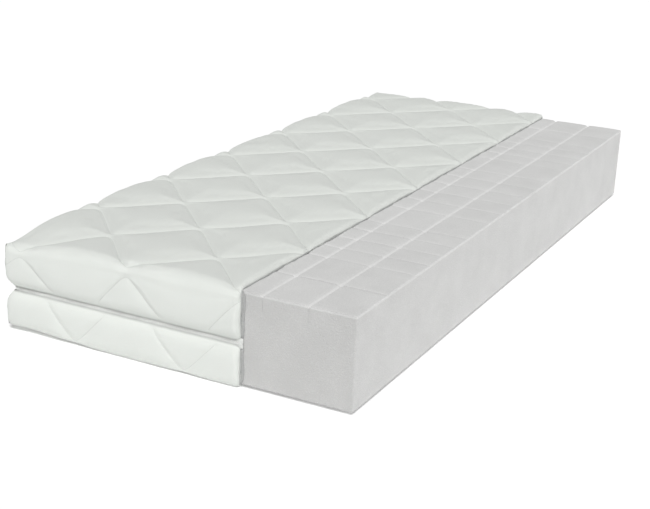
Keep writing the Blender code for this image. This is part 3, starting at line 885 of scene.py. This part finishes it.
def foam_base():
    """The support foam: the block's outline drawn up through a few levels, with a softened bottom edge."""
    outline = []
    spans = ((FOAM_LOW.x, FOAM_LOW.y), (FOAM_HIGH.x, FOAM_LOW.y), (FOAM_HIGH.x, FOAM_HIGH.y),
             (FOAM_LOW.x, FOAM_HIGH.y))
    for k, start in enumerate(spans):
        stop = spans[(k + 1) % 4]
        long = math.hypot(stop[0] - start[0], stop[1] - start[1])
        fine = [0.0004 * i for i in range(1, 30)]
        marks = [0.0] + fine + np.linspace(0.012, long - 0.012, 24).tolist() + [long - f for f in fine[::-1]]
        outline += [(start[0] + (stop[0] - start[0]) * m / long, start[1] + (stop[1] - start[1]) * m / long)
                    for m in marks]
    x, y = (np.array(c) for c in zip(*outline))
    x, y = foam_plan(x, y)
    levels = [(0.0, 0.0016), (0.0003, 0.0009), (0.0009, 0.0003), (0.0016, 0.0)]
    levels += [(h, 0.0) for h in np.linspace(0.012, LAYER_LOW - FOAM_LOW.z, 10)]
    half_x, half_y, at_edge = FOAM_HIGH.x - CORE_X, FOAM_HIGH.y - CORE_MID_Y, 0.012
    rings = []
    for height, inset in levels:
        inward_x = np.sign(CORE_X - x) * inset * (np.abs(np.abs(x - CORE_X) - half_x) < at_edge)
        inward_y = np.sign(CORE_MID_Y - y) * inset * (np.abs(np.abs(y - CORE_MID_Y) - half_y) < at_edge)
        rings.append(np.stack([x + inward_x, y + inward_y, np.full_like(x, FOAM_LOW.z + height)], axis=1))
    n, m = len(rings), len(x)
    points = squeezed(np.concatenate(rings))
    faces = []
    for r in range(n - 1):
        for k in range(m):
            a, b = r * m + k, r * m + (k + 1) % m
            faces.append((a, b, b + m, a + m))
    faces.append(list(range(m))[::-1])
    faces.append([(n - 1) * m + k for k in range(m)])
    return mesh_piece("support_foam_block", points, faces, BASE_FOAM, "foam_core", False)


# The zip

def seam_path(stand, head):
    """Points every millimetre along the zip seam on one run, with outward directions.

    The foot run goes from the cut round the foot corner and up the left side; the head run is
    the short one from the cut round the head corner.
    """
    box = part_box("zip_coil_upper_head" if head else "zip_coil_upper")
    end = 1 if head else -1
    stop = box[0][1] if head else box[1][1]
    radius = CORNER_RADIUS + stand
    centre = (FOAM_LOW.x + CORNER_RADIUS, end * (FOAM_HIGH.y - CORE_MID_Y - CORNER_RADIUS) + CORE_MID_Y)
    points, outs = [], []
    straight = COVER_CUT - centre[0]
    for d in np.arange(0, straight, 0.001):
        points.append((COVER_CUT - d, centre[1] + end * radius))
        outs.append((0.0, float(end)))
    for a in np.linspace(0, math.pi / 2, int(radius * math.pi / 2 / 0.001)):
        outs.append((-math.sin(a), end * math.cos(a)))
        points.append((centre[0] + radius * outs[-1][0], centre[1] + radius * outs[-1][1]))
    for d in np.arange(0.001, abs(stop - centre[1]), 0.001):
        points.append((centre[0] - radius, centre[1] - end * d))
        outs.append((-1.0, 0.0))
    return np.array(points), np.array(outs)


def coil_pieces():
    """The coil's turns, drawn as one small slanted bar each, in two rows that mesh."""
    pitch = 0.0021
    for head in (False, True):
        path, outs = seam_path(0.0039, head)
        reach = reach_along(path)
        for side, cad_name in ((1, "zip_coil_upper"), (-1, "zip_coil_lower")):
            at = np.arange(pitch * (0.5 if side > 0 else 1.0), reach[-1] - 0.0005, pitch)
            spot = read_at(at, reach, path)
            out = unit(read_at(at, reach, outs))
            centres = np.column_stack([spot, np.full(len(at), ZIP_Z + side * 0.00145)])
            out = np.column_stack([out, np.zeros(len(at))])
            slant = np.cross(out, (0, 0, 1.0)) * 0.16
            along = unit(slant + np.array([0, 0, float(side)]))
            template, faces = spindle(((-0.0019, 0.0002, 0.0004), (-0.0014, 0.00052, 0.0009),
                                       (0.0012, 0.00048, 0.0010), (0.0019, 0.0003, 0.0007)), 6)
            suffix = "_head" if head else ""
            ob = beads(f"{cad_name}_turns{suffix}", template, faces, centres, along, out, NYLON,
                       "upper_cover" if side > 0 else "lower_cover")
            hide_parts(cad_name + suffix)


def tape_pieces():
    """Woven tapes with raised ribs along their length.

    The profile is given as heights from the seam and distances from the foam.
    """
    near, far, back, groove, rib = 0.0008, 0.0120, 0.0017, 0.0023, 0.0026
    profile = [(near, 0.0024), (0.0011, rib)]
    for k in range(8):
        z = 0.0016 + k * 0.0013
        profile += [(z, groove), (z + 0.0004, rib), (z + 0.0009, rib)]
    profile += [(0.0118, 0.0024), (far, 0.0022), (far, back), (near, back)]
    for head in (False, True):
        path, outs = seam_path(0.0, head)
        keep = np.r_[0:len(path):6, len(path) - 1]
        path, outs = path[keep], outs[keep]
        for side, cad_name in ((1, "zip_tape_upper"), (-1, "zip_tape_lower")):
            rings = []
            for height, stand in profile:
                at = path + outs * stand
                rings.append(np.column_stack([at, np.full(len(at), ZIP_Z + side * height)]))
            rings = np.array(rings)
            n, m = rings.shape[:2]
            faces = []
            flip = (side > 0) == head
            for r in range(n):
                for k in range(m - 1):
                    a, b = r * m + k, ((r + 1) % n) * m + k
                    faces.append((a, a + 1, b + 1, b) if flip else (a, b, b + 1, a + 1))
            caps = [[r * m for r in range(n)], [r * m + m - 1 for r in range(n)][::-1]]
            faces += [c if flip else c[::-1] for c in caps]
            suffix = "_head" if head else ""
            ob = mesh_piece(f"{cad_name}_weave{suffix}", rings.reshape(-1, 3), faces, ZIP_TAPE,
                            "upper_cover" if side > 0 else "lower_cover", False)
            u = np.repeat(reach_along(path)[None, :], n, axis=0)
            v = np.repeat(np.array([h for h, _ in profile])[:, None], m, axis=1)
            panel_attribute(ob, u.reshape(-1), v.reshape(-1))
            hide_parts(cad_name + suffix)


def hard_parts():
    """The small zip parts keep their CAD shape, with a finish of their own."""
    metal = ("zip_slider", "zip_pull_tab", "zip_stop_upper", "zip_stop_lower")
    for name in (*metal, "zip_pin", "zip_box"):
        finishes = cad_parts[name].data.materials
        finishes.clear()
        finishes.append(NICKEL if name in metal else NYLON)


def care_label(lower_skin):
    """A blank satin label sewn into the seam, lying over the lower border."""
    low, high = (Vector(c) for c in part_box("care_label"))
    tree = BVHTree.FromObject(lower_skin, bpy.context.evaluated_depsgraph_get())
    columns, rows = 13, 22
    points, flat = [], []
    for i in range(rows):
        down = i / (rows - 1)
        z = high.z - 0.0002 - down * (high.z - low.z)
        for j in range(columns):
            part = j / (columns - 1)
            y = low.y + part * (high.y - low.y)
            hit = tree.ray_cast(Vector((-1.0, y, z)), Vector((1.0, 0.0, 0.0)))[0]
            lift = 0.0007 + 0.0030 * down ** 2 * (0.6 + 0.4 * math.cos(math.pi * (part - 0.3)))
            points.append((hit.x - lift, y, z))
            flat.append((y, z))
    faces = grid_faces(rows, columns, -1, True)
    ob = mesh_piece("blank_care_label", points, faces.tolist(), LABEL, "lower_cover")
    flat = np.array(flat)
    panel_attribute(ob, flat[:, 0], flat[:, 1])
    thicken(ob, 0.0003)
    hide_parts("care_label")


# The pieces

base = foam_base()
layer = foam_layer()
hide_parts("base_foam_core")
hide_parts("memory_foam_layer")
for which, half, foam_z, lip_z, inner_rim, lining_rim, lies_on in (
    ("upper", UPPER, FOAM_HIGH.z, LIP_HIGH, 0.0100, 0.0081, [layer, base]),
    ("lower", LOWER, FOAM_LOW.z, LIP_LOW, 0.0040, 0.0019, [base]),
):
    inner = Half(half.side, foam_z + half.side * 0.0019, lip_z,
                 walls=0.0034, corner=0.0142, rim=inner_rim, lip=SHARP)
    lining = Half(half.side, foam_z + half.side * 0.0013, ZIP_Z + half.side * TAPE_REACH,
                  walls=0.0013, corner=0.0121, rim=lining_rim, lip=SHARP)
    quilt, body = Quilt(half), f"{which}_cover"
    skin = ticking_piece(quilt, f"quilted_ticking_{which}", body, f"{which}_ticking")
    wadding_piece(quilt, inner, f"wadding_fill_{which}", body, f"{which}_wadding")
    lining_piece(lining, f"lining_{which}", body, f"{which}_backing")
    stitching(quilt, f"quilting_thread_{which}", body)
coil_pieces()
tape_pieces()
hard_parts()
care_label(skin)


# The studio

# A pale floor and one large soft light, turned from the foot end towards the bare side
FLOOR_REACH = 30.0
FLOOR_TONE = (0.93, 0.93, 0.93)
FLOOR_GLOW = 0.16
LIGHT_POWER = 2.52
LIGHT_SOFTNESS = 0.4
LIGHT_TURN = math.radians(30)
LIGHT_HEIGHT = math.radians(56)


def studio():
    scene = bpy.context.scene
    scene.view_settings.view_transform = "Standard"
    mesh = bpy.data.meshes.new("floor")
    corners = ((-1, -1), (1, -1), (1, 1), (-1, 1))
    mesh.from_pydata([(x * FLOOR_REACH, y * FLOOR_REACH, 0.0) for x, y in corners], [], [(0, 1, 2, 3)])
    floor = bpy.data.objects.new("floor", mesh)
    scene.collection.objects.link(floor)
    floor.location.z = -0.0002
    made, _, shader = shader_of("floor", FLOOR_TONE, 0.9, Emission_Strength=FLOOR_GLOW)
    shader.inputs["Emission Color"].default_value = (1, 1, 1, 1)
    mesh.materials.append(made)
    world = bpy.data.worlds.new("studio")
    world.use_nodes = True
    sky = world.node_tree
    up = node(sky, "SeparateXYZ", {0: node(sky, "TexCoord").outputs["Generated"]}).outputs["Z"]
    glow = node(sky, "MapRange", {"Value": up, "From Min": 0.05, "From Max": 0.13, "To Min": 1.0,
                                  "To Max": 0.28}).outputs[0]
    sky.nodes["Background"].inputs[0].default_value = (1, 1, 1, 1)
    sky.links.new(glow, sky.nodes["Background"].inputs[1])
    scene.world = world
    light = bpy.data.lights.new("softbox", "SUN")
    light.energy = LIGHT_POWER
    light.angle = LIGHT_SOFTNESS
    lamp = bpy.data.objects.new("softbox", light)
    away = Vector((
        math.sin(LIGHT_TURN) * math.cos(LIGHT_HEIGHT),
        -math.cos(LIGHT_TURN) * math.cos(LIGHT_HEIGHT),
        math.sin(LIGHT_HEIGHT),
    ))
    lamp.location = away * 6.0
    lamp.rotation_euler = (-away).to_track_quat("-Z", "Y").to_euler()
    scene.collection.objects.link(lamp)


# The camera's place from the foam's middle and underside, and its turn, tilt and roll in radians
CAMERA_LENS = 73.12
CAMERA_PLACE = (1.52236, -3.29234, 1.22289)
CAMERA_AZIMUTH, CAMERA_TILT, CAMERA_ROLL = -0.46605, 0.33166, 0.04232


def camera():
    view = bpy.data.cameras.new("camera")
    view.sensor_width = 36.0
    view.lens = CAMERA_LENS
    ob = bpy.data.objects.new("camera", view)
    bpy.context.scene.collection.objects.link(ob)
    ob.location = Vector((CORE_X, CORE_MID_Y, FOAM_LOW.z)) + Vector(CAMERA_PLACE)
    look = Vector((
        math.cos(CAMERA_TILT) * math.sin(CAMERA_AZIMUTH),
        math.cos(CAMERA_TILT) * math.cos(CAMERA_AZIMUTH),
        -math.sin(CAMERA_TILT),
    ))
    right = look.cross(Vector((0, 0, 1))).normalized()
    up = right.cross(look)
    turned = right * math.cos(CAMERA_ROLL) + up * math.sin(CAMERA_ROLL)
    turned_up = up * math.cos(CAMERA_ROLL) - right * math.sin(CAMERA_ROLL)
    ob.rotation_euler = Matrix((turned, turned_up, -look)).transposed().to_euler()
    bpy.context.scene.camera = ob


studio()
camera()
